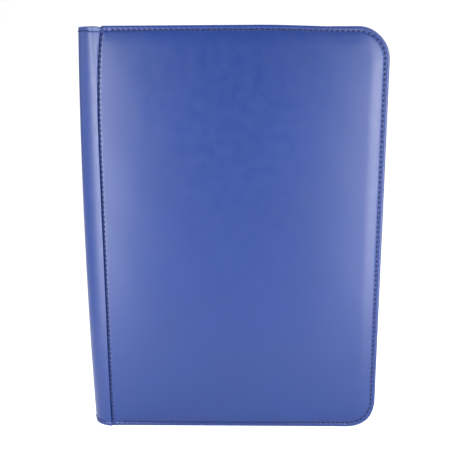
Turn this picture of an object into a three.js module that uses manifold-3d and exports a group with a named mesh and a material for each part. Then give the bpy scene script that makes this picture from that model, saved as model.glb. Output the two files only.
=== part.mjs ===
// Zip-around trading card binder, closed and standing on its bottom edge.
// Millimetres. +X runs from the spine to the opening edge, +Y from the front cover to the back,
// +Z up. The origin is the centre of the footprint, on the surface the binder stands on.

import * as THREE from 'three';
import { mergeVertices } from 'three/addons/utils/BufferGeometryUtils.js';
import Module from 'manifold-3d';

const wasm = await Module();
wasm.setup();

// ---- driving dimensions ----

const WIDTH = 252;
const HEIGHT = 345;
const CORNER_RADIUS = 26;
const CURVE_STEPS = 8;
const OVERCUT = 1; // how far a solid reaches past the one that it is cut from or joined to

// Distances outwards from the mid-plane between the covers.
const PAD_FACE = 18; // outer face of the padded panel
const LIP_FACE = 16; // outer face of the stitched lip, and the spine's radius
const LINING_FACE = 12.7; // inner face of each cover

const LEATHER = 0.9;
const LINING = 0.5;
const TAPE = 0.8;
const FLANGE = 0.4; // thickness of the tape where it is sewn under the lip
const LAYER_GAP = 0.1;
const HINGE_GAP = 0.3; // clearance on each side of the fold line
const FOAM_BASE = 15; // inner face of the foam pad
const BOARD_BASE = 13.3; // inner face of the stiffener board

const EDGE = WIDTH / 2; // x of the opening edge
const FOLD = -EDGE + LIP_FACE + 1; // x of the fold between the spine and each cover
const COVER_START = FOLD + HINGE_GAP;

// Insets from the cover's free edges.
const STITCH_INSET = 3.5;
const STITCH_WIDTH = 0.6;
const STITCH_PROUD = 0.3;
const PAD_INSET = 4.2; // where the padded panel starts to rise
const PAD_ROLL = 5; // width of its rounded edge
const FOAM_RISE = 1.2; // depth of the foam pad's rounded edge
const ROLL_STEPS = 4;
const SEAM_STITCH_INSET = 1.5; // seam stitching from the cover's start at the fold
const ZIP_INSET = 6.4; // middle of the tape wall
const CORE_INSET = 7.2; // edge of foam, board and lining
const FLANGE_INSET = 1;

// Zip
const ZIP_START = -98; // x where the tapes begin, next to the spine
const ROW_NEAR = 1.2; // each row's distance from the mid-plane
const ROW_WIDTH = 2.2;
const ROW_THICKNESS = 2;
const STOP_LENGTH = 1.6;
const SLIDER_X = -92; // middle of the slider when the zip is closed
const SLIDER_LENGTH = 10;
const SLIDER_WIDTH = 9.8;
const SLIDER_CLEARANCE = 0.3;
const SLIDER_PLATE = 1;
const DIAMOND_LENGTH = 4;
const DIAMOND_WIDTH = 1.8;
const BRIDGE = { length: 5.2, span: 3.2, width: 2, rise: 2.8, opening: 1.9 };
const PIN_RISE = 0.95; // pull's pin above the slider's plate
const PULL = { length: 24, width: 6, thickness: 1.2, eyeWidth: 3.2, eyeEnd: 4.2 };

// Spine
const SPINE_FOAM = 2.4;
const SPINE_MARGIN = 2; // foam and lining stop this far below the leather's ends
const SPINE_STEPS = 24;
const SPINE_CENTRE_X = FOLD - 1;
const STRIP = { flangeX: -106, flange: 0.8, halfWidth: 12.2, web: 2, margin: 12 };
const TAB = { start: -121, end: -101, halfWidth: 11 };

// Pages
const PAGES = 20;
const PAGE_PITCH = 1.2;
const PAGE_HINGE_X = -104.8;
const PAGE_EDGE_GAP = 0.1;
const GUTTER = { width: 4, thickness: 0.2 };
const PAGE = { width: 220, height: 312, thickness: 0.6, corner: 5, cornerSteps: 3 };

// ---- finishes ----

const FINISH = {
  leather: { color: 0x465ea7, roughness: 0.5, metalness: 0 },
  foam: { color: 0xd8d8d4, roughness: 0.95, metalness: 0 },
  board: { color: 0x8c8478, roughness: 0.9, metalness: 0 },
  lining: { color: 0x16181f, roughness: 0.95, metalness: 0 },
  tape: { color: 0x2b3f7e, roughness: 0.9, metalness: 0 },
  teeth: { color: 0x27376b, roughness: 0.4, metalness: 0 },
  thread: { color: 0x2a3a70, roughness: 0.7, metalness: 0 },
  metal: { color: 0x3b3d42, roughness: 0.35, metalness: 1 },
  strip: { color: 0x1b1c20, roughness: 0.6, metalness: 0 },
  page: { color: 0x17181c, roughness: 0.35, metalness: 0 },
};

function mesh(name, geometry, finish) {
  const material = new THREE.MeshStandardMaterial({ ...FINISH[finish], flatShading: true });
  const made = new THREE.Mesh(geometry, material);
  made.name = name;
  return made;
}

// ---- solids ----

function solid(geometry) {
  const bare = geometry.clone();
  bare.deleteAttribute('normal');
  bare.deleteAttribute('uv');
  const merged = mergeVertices(bare);
  const vertProperties = new Float32Array(merged.attributes.position.array);
  const triVerts = new Uint32Array(merged.index.array);
  return new wasm.Manifold(new wasm.Mesh({ numProp: 3, vertProperties, triVerts }));
}

function surface(manifold) {
  const { vertProperties, triVerts } = manifold.getMesh();
  const geometry = new THREE.BufferGeometry();
  geometry.setAttribute('position', new THREE.BufferAttribute(vertProperties, 3));
  geometry.setIndex(new THREE.BufferAttribute(triVerts, 1));
  return geometry;
}

function box(low, high) {
  const size = high.map((value, axis) => value - low[axis]);
  const geometry = new THREE.BoxGeometry(...size);
  return geometry.translate(...low.map((value, axis) => value + size[axis] / 2));
}

// A flat plate parallel to the covers: an outline in X and Z, spanning two distances
// outwards from the mid-plane on the front cover's side.
function plate(shape, inner, outer) {
  const options = { depth: outer - inner, bevelEnabled: false, curveSegments: CURVE_STEPS };
  const geometry = new THREE.ExtrudeGeometry(shape, options);
  return geometry.rotateX(Math.PI / 2).translate(0, -inner, 0);
}

// The same plate with its outer face's edge rolled over: rise deep and roll wide.
function pillow(shape, inner, outer, rise, roll) {
  const options = {
    depth: outer - inner - rise,
    bevelThickness: rise,
    bevelSize: roll,
    bevelOffset: -roll,
    bevelSegments: ROLL_STEPS,
    curveSegments: CURVE_STEPS,
  };
  const geometry = new THREE.ExtrudeGeometry(shape, options);
  geometry.rotateX(Math.PI / 2).translate(0, -inner, 0);
  const kept = box([-WIDTH, -2 * outer, -HEIGHT], [WIDTH, -inner, 2 * HEIGHT]);
  return solid(geometry).intersect(solid(kept));
}

// ---- outlines in X and Z ----

// The cover's outline set in from its free edges, and from the fold by seam.
function coverOutline(inset, seam) {
  const radius = CORNER_RADIUS - inset;
  const centreX = EDGE - CORNER_RADIUS;
  const left = COVER_START + seam;
  const shape = new THREE.Shape();
  shape.moveTo(left, inset);
  shape.lineTo(centreX, inset);
  shape.absarc(centreX, CORNER_RADIUS, radius, -Math.PI / 2, 0, false);
  shape.absarc(centreX, HEIGHT - CORNER_RADIUS, radius, 0, Math.PI / 2, false);
  shape.lineTo(left, HEIGHT - inset);
  shape.closePath();
  return shape;
}

// A band that follows the three free edges between two insets, starting at x = start.
function edgeBand(outerInset, innerInset, start) {
  const centreX = EDGE - CORNER_RADIUS;
  const top = HEIGHT - CORNER_RADIUS;
  const outer = CORNER_RADIUS - outerInset;
  const inner = CORNER_RADIUS - innerInset;
  const shape = new THREE.Shape();
  shape.moveTo(start, outerInset);
  shape.lineTo(centreX, outerInset);
  shape.absarc(centreX, CORNER_RADIUS, outer, -Math.PI / 2, 0, false);
  shape.absarc(centreX, top, outer, 0, Math.PI / 2, false);
  shape.lineTo(start, HEIGHT - outerInset);
  shape.lineTo(start, HEIGHT - innerInset);
  shape.lineTo(centreX, HEIGHT - innerInset);
  shape.absarc(centreX, top, inner, Math.PI / 2, 0, true);
  shape.absarc(centreX, CORNER_RADIUS, inner, 0, -Math.PI / 2, true);
  shape.lineTo(start, innerInset);
  shape.closePath();
  return shape;
}

// ---- covers ----

// The outer panel: a thin lip all round, and inside it a padded area that stands proud.
function leatherPanel() {
  const rise = PAD_FACE - LIP_FACE;
  const inner = LIP_FACE - LEATHER;
  const lip = solid(plate(coverOutline(0, 0), inner, LIP_FACE));
  const padOutline = coverOutline(PAD_INSET, PAD_INSET - HINGE_GAP);
  const raised = pillow(padOutline, inner, PAD_FACE, rise, PAD_ROLL);
  const hollowOutline = coverOutline(PAD_INSET + LEATHER, PAD_INSET - HINGE_GAP + LEATHER);
  const hollow = pillow(hollowOutline, inner - OVERCUT, PAD_FACE - LEATHER, rise, PAD_ROLL);
  return surface(lip.add(raised).subtract(hollow));
}

function foamPad() {
  const outer = PAD_FACE - LEATHER - LAYER_GAP;
  const outline = coverOutline(CORE_INSET, CORE_INSET);
  return surface(pillow(outline, FOAM_BASE, outer, FOAM_RISE, PAD_ROLL));
}

// The sewn flange under the lip, turned through a right angle into the wall beside the teeth.
function zipTape() {
  const flangeOuter = LIP_FACE - LEATHER - LAYER_GAP;
  const wallEnd = ROW_NEAR + ROW_WIDTH + LAYER_GAP;
  const wallOutline = edgeBand(ZIP_INSET - TAPE / 2, ZIP_INSET + TAPE / 2, ZIP_START);
  const wall = solid(plate(wallOutline, wallEnd, flangeOuter));
  const flangeOutline = edgeBand(FLANGE_INSET, ZIP_INSET, ZIP_START);
  const flange = solid(plate(flangeOutline, flangeOuter - FLANGE, flangeOuter));
  return surface(wall.add(flange));
}

function zipRow() {
  const half = ROW_THICKNESS / 2;
  const outline = edgeBand(ZIP_INSET - half, ZIP_INSET + half, ZIP_START);
  return plate(outline, ROW_NEAR, ROW_NEAR + ROW_WIDTH);
}

function edgeStitching() {
  const half = STITCH_WIDTH / 2;
  const outline = edgeBand(STITCH_INSET - half, STITCH_INSET + half, COVER_START + STITCH_INSET);
  return plate(outline, LIP_FACE + LAYER_GAP, LIP_FACE + STITCH_PROUD);
}

function seamStitching() {
  const x = COVER_START + SEAM_STITCH_INSET;
  const low = [x - STITCH_WIDTH / 2, -LIP_FACE - STITCH_PROUD, STITCH_INSET];
  const high = [x + STITCH_WIDTH / 2, -LIP_FACE - LAYER_GAP, HEIGHT - STITCH_INSET];
  return box(low, high);
}

function cover(prefix) {
  const core = coverOutline(CORE_INSET, HINGE_GAP);
  const boardOuter = FOAM_BASE - LAYER_GAP;
  const group = new THREE.Group();
  group.add(
    mesh(`${prefix}_leather`, leatherPanel(), 'leather'),
    mesh(`${prefix}_foam`, foamPad(), 'foam'),
    mesh(`${prefix}_board`, plate(core, BOARD_BASE, boardOuter), 'board'),
    mesh(`${prefix}_lining`, plate(core, LINING_FACE, LINING_FACE + LINING), 'lining'),
    mesh(`${prefix}_zip_tape`, zipTape(), 'tape'),
    mesh(`${prefix}_zip_teeth`, zipRow(), 'teeth'),
    mesh(`${prefix}_edge_stitching`, edgeStitching(), 'thread'),
    mesh(`${prefix}_seam_stitching`, seamStitching(), 'thread'),
  );
  return group;
}

// A crimped block at the end of one row; side is -1 on the front cover and 1 on the back.
function zipStop(side, z) {
  const middle = side * (ROW_NEAR + ROW_WIDTH / 2);
  const half = [STOP_LENGTH / 2, ROW_WIDTH / 2, ROW_THICKNESS / 2];
  const centre = [ZIP_START - LAYER_GAP - STOP_LENGTH / 2, middle, z];
  const low = centre.map((value, axis) => value - half[axis]);
  const high = centre.map((value, axis) => value + half[axis]);
  return box(low, high);
}

// ---- spine ----

// A half-round shell standing full height, with short straight legs up to the fold.
function spineShell(outer, thickness, bottom, top) {
  const inner = outer - thickness;
  const legEnd = FOLD - HINGE_GAP;
  const shape = new THREE.Shape();
  shape.moveTo(legEnd, -outer);
  shape.lineTo(legEnd, -inner);
  shape.lineTo(SPINE_CENTRE_X, -inner);
  shape.absarc(SPINE_CENTRE_X, 0, inner, -Math.PI / 2, -1.5 * Math.PI, true);
  shape.lineTo(legEnd, inner);
  shape.lineTo(legEnd, outer);
  shape.lineTo(SPINE_CENTRE_X, outer);
  shape.absarc(SPINE_CENTRE_X, 0, outer, Math.PI / 2, 1.5 * Math.PI, false);
  shape.closePath();
  const options = { depth: top - bottom, bevelEnabled: false, curveSegments: SPINE_STEPS };
  return new THREE.ExtrudeGeometry(shape, options).translate(0, 0, bottom);
}

// A T section: the flange carries the pages, and the web reaches the spine's lining.
function bindingStrip(liningRadius) {
  const low = STRIP.margin;
  const high = HEIGHT - STRIP.margin;
  const half = STRIP.halfWidth;
  const webStart = SPINE_CENTRE_X - liningRadius + HINGE_GAP;
  const flange = box([STRIP.flangeX, -half, low], [STRIP.flangeX + STRIP.flange, half, high]);
  const webEnd = STRIP.flangeX + LAYER_GAP;
  const web = box([webStart, -STRIP.web / 2, low], [webEnd, STRIP.web / 2, high]);
  return surface(solid(flange).add(solid(web)));
}

function zipEndTab(z) {
  const low = [TAB.start, -TAB.halfWidth, z - TAPE / 2];
  const high = [TAB.end, TAB.halfWidth, z + TAPE / 2];
  const gaps = 3 * LAYER_GAP; // around the foam, around the lining and around the tab
  const clear = LIP_FACE - LEATHER - SPINE_FOAM - LINING - gaps;
  const round = new THREE.CylinderGeometry(clear, clear, 2 * TAPE, 2 * SPINE_STEPS);
  round.rotateX(Math.PI / 2).translate(SPINE_CENTRE_X, 0, z);
  const free = box([SPINE_CENTRE_X, -clear, z - TAPE], [TAB.end + OVERCUT, clear, z + TAPE]);
  return surface(solid(box(low, high)).intersect(solid(round).add(solid(free))));
}

function spine() {
  const foamRadius = LIP_FACE - LEATHER - LAYER_GAP;
  const liningRadius = foamRadius - SPINE_FOAM - LAYER_GAP;
  const bottom = SPINE_MARGIN;
  const top = HEIGHT - SPINE_MARGIN;
  const group = new THREE.Group();
  group.add(
    mesh('spine_leather', spineShell(LIP_FACE, LEATHER, 0, HEIGHT), 'leather'),
    mesh('spine_foam', spineShell(foamRadius, SPINE_FOAM, bottom, top), 'foam'),
    mesh('spine_lining', spineShell(liningRadius, LINING, bottom, top), 'lining'),
    mesh('binding_strip', bindingStrip(liningRadius - LINING), 'strip'),
    mesh('zip_end_tab_top', zipEndTab(HEIGHT - ZIP_INSET), 'tape'),
    mesh('zip_end_tab_bottom', zipEndTab(ZIP_INSET), 'tape'),
  );
  return group;
}

// ---- zip slider and pull, made about the middle of the row ----

// Two plates joined by the diamond that parts the rows, with a bridge for the pull on top.
function zipSlider() {
  const near = ROW_THICKNESS / 2 + SLIDER_CLEARANCE;
  const far = near + SLIDER_PLATE;
  const x = SLIDER_LENGTH / 2;
  const y = SLIDER_WIDTH / 2;
  const outerPlate = solid(box([-x, -y, near], [x, y, far]));
  const innerPlate = solid(box([-x, -y, -far], [x, y, -near]));
  const diamondX = DIAMOND_LENGTH / 2;
  const diamondY = DIAMOND_WIDTH / 2;
  const inside = near + SLIDER_PLATE / 2;
  const diamond = box([-diamondX, -diamondY, -inside], [diamondX, diamondY, inside]);
  const bridgeX = BRIDGE.length / 2;
  const bridgeY = BRIDGE.width / 2;
  const bridge = box([-bridgeX, -bridgeY, inside], [bridgeX, bridgeY, far + BRIDGE.rise]);
  const spanX = BRIDGE.span / 2;
  const opening = box([-spanX, -BRIDGE.width, far], [spanX, BRIDGE.width, far + BRIDGE.opening]);
  const arch = solid(bridge).subtract(solid(opening));
  return surface(outerPlate.add(innerPlate).add(solid(diamond)).add(arch));
}

// A flat tab with rounded ends lying along +X, whose eye leaves a pin at the origin.
function zipPull() {
  const round = PULL.thickness / 2;
  const side = new THREE.Shape();
  side.absarc(0, 0, round, Math.PI / 2, 1.5 * Math.PI, false);
  side.absarc(PULL.length, 0, round, -Math.PI / 2, Math.PI / 2, false);
  side.closePath();
  const options = { depth: PULL.width, bevelEnabled: false, curveSegments: CURVE_STEPS };
  const tab = new THREE.ExtrudeGeometry(side, options);
  tab.rotateX(Math.PI / 2).translate(0, PULL.width / 2, 0);
  const halfEye = PULL.eyeWidth / 2;
  const through = round + OVERCUT;
  const eye = box([round, -halfEye, -through], [PULL.eyeEnd, halfEye, through]);
  return surface(solid(tab).subtract(solid(eye)));
}

// ---- pages ----

// A pocket sheet with rounded outer corners, joined to the strip by a thin flexible gutter.
function page() {
  const { width, height, thickness, corner, cornerSteps } = PAGE;
  const bottom = (HEIGHT - height) / 2;
  const top = bottom + height;
  const pocketStart = GUTTER.width;
  const centreX = width - corner;
  const shape = new THREE.Shape();
  shape.moveTo(pocketStart, bottom);
  shape.lineTo(centreX, bottom);
  shape.absarc(centreX, bottom + corner, corner, -Math.PI / 2, 0, false);
  shape.absarc(centreX, top - corner, corner, 0, Math.PI / 2, false);
  shape.lineTo(pocketStart, top);
  shape.closePath();
  const options = { depth: thickness, bevelEnabled: false, curveSegments: cornerSteps };
  const pockets = new THREE.ExtrudeGeometry(shape, options);
  pockets.rotateX(Math.PI / 2).translate(0, thickness / 2, 0);
  const half = GUTTER.thickness / 2;
  const gutter = box([PAGE_EDGE_GAP, -half, bottom], [pocketStart + OVERCUT, half, top]);
  return surface(solid(pockets).add(solid(gutter)));
}

// ---- assembly ----

const binder = new THREE.Group();

binder.add(spine());

const frontCover = cover('front');
const backCover = cover('back');
backCover.rotation.x = Math.PI;
backCover.position.z = HEIGHT;
binder.add(frontCover, backCover);

for (const [prefix, side] of [['front', -1], ['back', 1]]) {
  const top = zipStop(side, HEIGHT - ZIP_INSET);
  const bottom = zipStop(side, ZIP_INSET);
  binder.add(mesh(`${prefix}_zip_stop_top`, top, 'metal'));
  binder.add(mesh(`${prefix}_zip_stop_bottom`, bottom, 'metal'));
}

const slider = mesh('zip_slider', zipSlider(), 'metal');
slider.position.set(SLIDER_X, 0, HEIGHT - ZIP_INSET);
const pull = mesh('zip_pull', zipPull(), 'metal');
const pinHeight = ROW_THICKNESS / 2 + SLIDER_CLEARANCE + SLIDER_PLATE + PIN_RISE;
pull.position.set(SLIDER_X, 0, HEIGHT - ZIP_INSET + pinHeight);
binder.add(slider, pull);

for (let index = 0; index < PAGES; index += 1) {
  const name = `page_${String(index + 1).padStart(2, '0')}`;
  const leaf = mesh(name, page(), 'page');
  leaf.position.set(PAGE_HINGE_X, (index - (PAGES - 1) / 2) * PAGE_PITCH, 0);
  binder.add(leaf);
}

export default binder;
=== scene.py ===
"""Looks of the zip-around trading card binder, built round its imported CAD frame.

Lengths are in millimetres, and make() scales them to the frame's metres. Only the studio's lights
are placed in metres. X runs from the spine to the opening edge, Z is up, and "out" is the distance
from the mid-plane between the covers: the front cover is at -Y (side -1), the back at +Y (side 1).
"""

import math

import bmesh
import bpy
import numpy as np
from mathutils import Matrix, Vector


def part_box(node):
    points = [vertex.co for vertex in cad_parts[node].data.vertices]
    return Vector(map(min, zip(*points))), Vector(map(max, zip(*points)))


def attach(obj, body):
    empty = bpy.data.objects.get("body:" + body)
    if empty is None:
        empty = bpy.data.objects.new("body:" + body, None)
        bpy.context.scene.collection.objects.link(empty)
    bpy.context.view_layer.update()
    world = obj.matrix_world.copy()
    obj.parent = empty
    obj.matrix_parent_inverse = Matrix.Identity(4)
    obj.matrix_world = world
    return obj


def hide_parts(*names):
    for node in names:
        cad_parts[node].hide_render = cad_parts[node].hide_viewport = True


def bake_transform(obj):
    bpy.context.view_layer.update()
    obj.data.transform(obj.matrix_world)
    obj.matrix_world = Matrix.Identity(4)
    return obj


MM = 0.001
COVERS = (("front", -1), ("back", 1))

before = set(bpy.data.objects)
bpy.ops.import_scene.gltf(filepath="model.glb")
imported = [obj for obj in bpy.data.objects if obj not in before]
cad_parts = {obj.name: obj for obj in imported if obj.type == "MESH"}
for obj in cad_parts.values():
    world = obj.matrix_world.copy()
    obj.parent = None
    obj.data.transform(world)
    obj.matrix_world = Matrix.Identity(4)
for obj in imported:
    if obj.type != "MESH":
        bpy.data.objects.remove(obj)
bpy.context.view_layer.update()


def box_of(node):
    """Lowest and highest corner of a CAD node in millimetres."""
    low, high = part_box(node)
    return np.array(low) / MM, np.array(high) / MM


# ---- sizes taken from the frame ----

_, PANEL_HIGH = box_of("front_leather")
SPINE_LOW, SPINE_HIGH = box_of("spine_leather")
LINING_LOW, LINING_HIGH = box_of("front_lining")
FOAM_LOW, FOAM_HIGH = box_of("front_foam")
_, TAPE_HIGH = box_of("front_zip_tape")
TEETH_LOW, TEETH_HIGH = box_of("front_zip_teeth")
STRIP_LOW, STRIP_HIGH = box_of("binding_strip")
PAGE_LOW, PAGE_HIGH = box_of("page_01")
SLIDER_LOW, SLIDER_HIGH = box_of("zip_slider")
PULL_LOW, PULL_HIGH = box_of("zip_pull")

EDGE = PANEL_HIGH[0]  # x of the opening edge
HEIGHT = PANEL_HIGH[2]
SPINE_RADIUS = SPINE_HIGH[1]
SPINE_X = SPINE_LOW[0] + SPINE_RADIUS  # x of the half-round spine's axis
LIP = SPINE_RADIUS  # out of a cover's stitched lip
LEATHER = 0.9  # thickness
FOLD_X = SPINE_X + 2.1  # x of the seam's fold in the middle of its height
CORNER = 26.0  # radius of the outer corners
ZIP_INSET = TEETH_LOW[2] + 1.0  # the middle of the teeth, in from the free edges
ZIP_START = TEETH_LOW[0]
CORE_INSET = LINING_LOW[2]  # foam, board and lining, in from the free edges

# ---- shape of the padded covers ----

BOTTOM_STEPS = 208  # points along each stretch of a cover's outline
ARC_STEPS = 40
RIGHT_STEPS = 292
STITCH_INSET = 3.5  # the edge stitching, in from the free edges
STITCH_PITCH = 4.2
STITCH_LENGTH = 2.8
SEAM_STITCH = 1.15  # the seam stitching, in from the fold
# Rows of points on the leather, in from the free edges and from the fold, close at the stitching.
FREE_INSETS = (0, .07, .2, .5, 1, 1.6, 2.2, 2.7, 3.1, 3.5, 3.9, 4.3, 4.8, 5.5, 6.3, 7.2, 8.2, 9.4)
SEAM_INSETS = (0, .05, .14, .3, .55, .85, 1.1, 1.3, 1.5, 1.7, 1.9, 2.15, 2.5, 3, 3.8, 4.8, 6, 7.4)
PAD_START = 3.9  # where the leather starts to rise over its foam
PAD_ROLL = 12.5  # width of that rise from a free edge
SEAM_ROLL = 38.0  # and from the seam
SEAM_STEP = 0.65  # share of the rise reached just beside the seam
PAD_RISE = 1.7
SWELL = 0.9
RIM_DROP, RIM_WIDTH = 0.6, 1.5
FOLD_DROP, FOLD_WIDTH = 0.3, 0.3
PROUD = 0.06  # how far the leather stands off the CAD's lip
WELT, WELT_INSET = 0.15, 1.7  # the raised strip outside the stitching
SEAM_WELT, SEAM_WELT_INSET = 0.42, 0.8
STITCH_SINK = 0.5
PUCKER = 0.16
TOP_BOW, TOP_BOW_START = 6.0, 150.0  # how the fold runs to the right at its ends
BOTTOM_BOW, BOTTOM_BOW_END = 0.4, 60.0
TOP_LIFT = 0.35
TOP_DROOP, DROOP_X, DROOP_Z = 2.0, (20, 100), 230
LOW_CORNER_FILL, FILL_INSET, FILL_SPREAD = 1.0, 8.0, 160.0
SPINE_BOW, SPINE_BOW_Z, SPINE_BOW_REACH = 1.1, 160.0, 105.0
SPINE_PUFF, PUFF_START = 1.4, 7.0


def fold_x(z):
    """The panel's folded edge beside the spine, which bows to the right at both ends."""
    top = np.clip((z - TOP_BOW_START) / (HEIGHT - TOP_BOW_START), 0, 1)
    bottom = np.clip((BOTTOM_BOW_END - z) / BOTTOM_BOW_END, 0, 1)
    return FOLD_X + TOP_BOW * top**6 + BOTTOM_BOW * bottom**2


def settle(x, z):
    """The cover's small departures from its pattern: the top edge runs down to its corner and
    the lower corner is fuller."""
    top = (TOP_LIFT - TOP_DROOP * ramp(x, *DROOP_X)) * ramp(z, DROOP_Z, HEIGHT)
    from_corner = (x - EDGE + FILL_INSET) ** 2 + (z - FILL_INSET) ** 2
    fill = LOW_CORNER_FILL * np.exp(-from_corner / FILL_SPREAD)
    return x + fill, z + top - fill


def spine_bow(z):
    """How far the spine stands out to the left in its middle, and in at its ends."""
    return SPINE_BOW * (1 - ((z - SPINE_BOW_Z) / SPINE_BOW_REACH) ** 2)


def free_inset(x, z):
    """Distance inwards from the cover's three free edges."""
    across = x - (EDGE - CORNER)
    up = abs(z - HEIGHT / 2) - (HEIGHT / 2 - CORNER)
    corner = np.hypot(np.maximum(across, 0), np.maximum(up, 0))
    return CORNER - corner - np.minimum(np.maximum(across, up), 0)


def edge_run(x, z):
    """Length along the edge stitching, from the bottom of the fold, beside a point."""
    radius = CORNER - STITCH_INSET
    centre = EDGE - CORNER
    low = np.minimum(z, HEIGHT - z)
    bottom = centre - FOLD_X
    angle = np.arctan2(np.maximum(x - centre, 0), np.maximum(CORNER - low, 1e-6))
    run = np.where(x < centre, x - FOLD_X, bottom + radius * angle)
    run = np.where((x >= centre) & (low >= CORNER), bottom + radius * math.pi / 2 + low - CORNER, run)
    total = 2 * (bottom + radius * math.pi / 2) + HEIGHT - 2 * CORNER
    return np.where(z > HEIGHT / 2, total - run, run)


def bell(distance, width):
    """1 at no distance, falling smoothly to 0 over about three widths."""
    return np.exp(-(distance**2) / (2 * width**2))


def ramp(value, start, end):
    """0 before start, 1 after end, smooth between."""
    t = np.clip((value - start) / (end - start), 0, 1)
    return t * t * (3 - 2 * t)


def roll(distance, width):
    """0 at an edge, steep at first and then level: 1 at width."""
    return 1 - (1 - np.clip(distance / width, 0, 1)) ** 2.1


def rounding(distance, width):
    """1 at an edge, falling to 0 at width along a quarter circle."""
    return 1 - np.sqrt(1 - (1 - np.clip(distance / width, 0, 1)) ** 2)


def stitch_phase(run):
    """A wave with one crest in the middle of each stitch, for a length along the stitching."""
    return np.cos(2 * math.pi * run / STITCH_PITCH)


def circle(count):
    """Angles evenly round a circle."""
    return np.linspace(0, 2 * math.pi, count, endpoint=False)


def unit(vectors):
    """Rows of vectors, each made one long."""
    return vectors / np.linalg.norm(vectors, axis=1)[:, None]


# ---- mesh helpers ----


def placed(name, data):
    """A new object in the scene."""
    added = bpy.data.objects.new(name, data)
    bpy.context.scene.collection.objects.link(added)
    return added


def make(name, points, faces, surface, crease=40):
    """A smooth mesh piece with outward faces from points in millimetres."""
    mesh = bpy.data.meshes.new(name)
    mesh.from_pydata((np.asarray(points, float) * MM).tolist(), [], [list(map(int, f)) for f in faces])
    shaped = bmesh.new()
    shaped.from_mesh(mesh)
    bmesh.ops.recalc_face_normals(shaped, faces=shaped.faces)
    shaped.to_mesh(mesh)
    shaped.free()
    mesh.shade_smooth()
    mesh.set_sharp_from_angle(angle=math.radians(crease))
    mesh.materials.append(surface)
    return placed(name, mesh)


def grid_points(x, y, z):
    """Points from x, y and z, which are broadcast together."""
    return np.stack(np.broadcast_arrays(x, y, z), -1)


def quads(index):
    """Quads between neighbouring points of a grid of point numbers."""
    corners = [index[:-1, :-1], index[:-1, 1:], index[1:, 1:], index[1:, :-1]]
    return np.stack(corners, -1).reshape(-1, 4).tolist()


def grid_faces(rows, columns, start=0, closed=False):
    """Quads of a grid numbered row by row, closed round each row or not."""
    index = np.arange(rows * columns).reshape(rows, columns) + start
    if closed:
        index = np.hstack([index, index[:, :1]])
    return quads(index)


def sandwich(outer, inner):
    """Points and faces of a closed sheet between two grids of points."""
    rows, columns = outer.shape[:2]
    count = rows * columns
    index = np.arange(count).reshape(rows, columns)
    rim = [*index[0, :-1], *index[:-1, -1], *index[-1, :0:-1], *index[:0:-1, 0]]
    faces = grid_faces(rows, columns) + grid_faces(rows, columns, count)
    faces += [(a, b, b + count, a + count) for a, b in zip(rim, rim[1:] + rim[:1])]
    return np.concatenate([outer.reshape(-1, 3), inner.reshape(-1, 3)]), faces


def lofts(rings):
    """Points and faces of closed tubes. rings is tubes x stations x points round x 3."""
    tubes, stations, sides = rings.shape[:3]
    faces = []
    for tube in range(tubes):
        start = tube * stations * sides
        faces += grid_faces(stations, sides, start, closed=True)
        faces.append(range(start, start + sides))
        last = start + (stations - 1) * sides
        faces.append(range(last, last + sides))
    return rings.reshape(-1, 3), faces


def joined(parts):
    """Several (points, faces) as one."""
    points, faces, start = [], [], 0
    for some_points, some_faces in parts:
        points.append(np.asarray(some_points, float))
        faces += [[start + i for i in face] for face in some_faces]
        start += len(some_points)
    return np.concatenate(points), faces


def prism(outline, low, high, bevel=0.2):
    """A flat part with softened edges: an outline in X and Y between two heights."""
    outline = np.asarray(outline, float)
    centre = outline.mean(0)
    shrink = 1 - bevel / np.abs(outline - centre).max(0)
    small = centre + (outline - centre) * shrink
    levels = [(small, low), (outline, low + bevel), (outline, high - bevel), (small, high)]
    rings = [np.column_stack([flat, np.full(len(flat), z)]) for flat, z in levels]
    return lofts(np.array([rings]))


def attribute(piece, name, values):
    """Stores a value for each of a piece's points, for its material."""
    layer = piece.data.attributes.new(name, "FLOAT", "POINT")
    layer.data.foreach_set("value", np.asarray(values, np.float32))


def places(piece):
    """A piece's points in millimetres."""
    found = np.empty(len(piece.data.vertices) * 3, np.float32)
    piece.data.vertices.foreach_get("co", found)
    return found.reshape(-1, 3).astype(float) / MM


# ---- materials ----


def material(name, color, roughness, **sockets):
    """A Principled material; a socket's name is written with _ for each space."""
    made = bpy.data.materials.new(name)
    made.use_nodes = True
    shader = made.node_tree.nodes["Principled BSDF"]
    shader.inputs["Base Color"].default_value = (*color, 1)
    shader.inputs["Roughness"].default_value = roughness
    for key, value in sockets.items():
        shader.inputs[key.replace("_", " ")].default_value = value
    return made


def node(made, kind, inputs=(), **settings):
    """Adds a node. An input given as a socket is linked, and anything else is its value."""
    added = made.node_tree.nodes.new("ShaderNode" + kind)
    for key, value in settings.items():
        setattr(added, key, value)
    for key, value in dict(inputs).items():
        socket = added.inputs[key]
        if isinstance(value, bpy.types.NodeSocket):
            made.node_tree.links.new(value, socket)
        else:
            socket.default_value = value
    return added


def place_of(made):
    """The place on the object, which every pattern is laid by."""
    return node(made, "TexCoord").outputs["Object"]


def noise(made, size, detail=2.0, roughness=0.5):
    """Noise whose features are about size millimetres across."""
    inputs = {"Vector": place_of(made), "Scale": 1 / (size * MM), "Detail": detail, "Roughness": roughness}
    return node(made, "TexNoise", inputs).outputs["Fac"]


def cells(made, size, feature="F1"):
    """Rounded cells about size millimetres across."""
    inputs = {"Vector": place_of(made), "Scale": 1 / (size * MM)}
    return node(made, "TexVoronoi", inputs, feature=feature).outputs["Distance"]


def ribs(made, pitch, direction="X", distortion=0.0):
    """Parallel ribs a pitch apart in millimetres, across one axis or diagonally."""
    scale = 2 * math.pi / (20 * pitch * MM)
    if direction == "DIAGONAL":
        scale *= 2 / math.sqrt(3)
    inputs = {"Vector": place_of(made), "Scale": scale, "Distortion": distortion, "Detail": 0}
    return node(made, "TexWave", inputs, bands_direction=direction).outputs["Fac"]


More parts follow.
